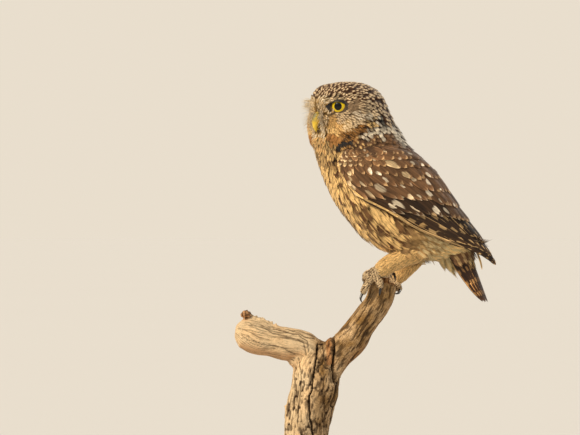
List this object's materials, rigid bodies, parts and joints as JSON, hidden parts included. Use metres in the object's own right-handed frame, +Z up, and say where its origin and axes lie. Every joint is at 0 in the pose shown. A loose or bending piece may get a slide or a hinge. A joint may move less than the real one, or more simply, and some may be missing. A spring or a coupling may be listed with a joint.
{
  "type": "little owl model",
  "caption": "Still, life-size model of a little owl with its head turned to its left, perched on the cut end of a dead forked branch, on a plain round display stand.",
  "frame": {"origin": "centre of the round stand base's underside, on the floor", "axes": "+Z up, the owl's body faces -X, its left side is towards -Y, and its head is turned 38 degrees from -X towards -Y"},
  "size_m": [0.2158, 0.16, 0.3385],
  "materials": {
    "plumage": "soft brown plumage with buff-white spots, streaked cream below",
    "flight": "dark brown flight feathers with buff-white spots and bars",
    "leg_feather": "short buff leg feathers",
    "horn": "satin yellow horn, olive at its base",
    "eye": "clear gloss over a yellow iris and a black pupil",
    "claw": "satin black horn",
    "dead_wood": "barkless weathered wood with grain cracks",
    "base_wood": "dark stained wood, satin",
    "steel": "brushed"
  },
  "bodies": {
    "root": {"head": "plumage", "neck": "plumage", "torso": "plumage", "eye_left": "eye", "eye_right": "eye", "bill_upper": "horn", "bill_lower": "horn", "wing_left": "flight", "wing_right": "flight", "tail": "flight", "thigh_left": "leg_feather", "tarsus_left": "leg_feather", "foot_left": "leg_feather", "claw_left_1": "claw", "claw_left_2": "claw", "claw_left_3": "claw", "claw_left_4": "claw", "thigh_right": "leg_feather", "tarsus_right": "leg_feather", "foot_right": "leg_feather", "claw_right_1": "claw", "claw_right_2": "claw", "claw_right_3": "claw", "claw_right_4": "claw", "perch_trunk": "dead_wood", "perch_stub": "dead_wood", "perch_limb": "dead_wood", "stand_base": "base_wood", "stand_rod": "steel"}
  },
  "joints": []
}
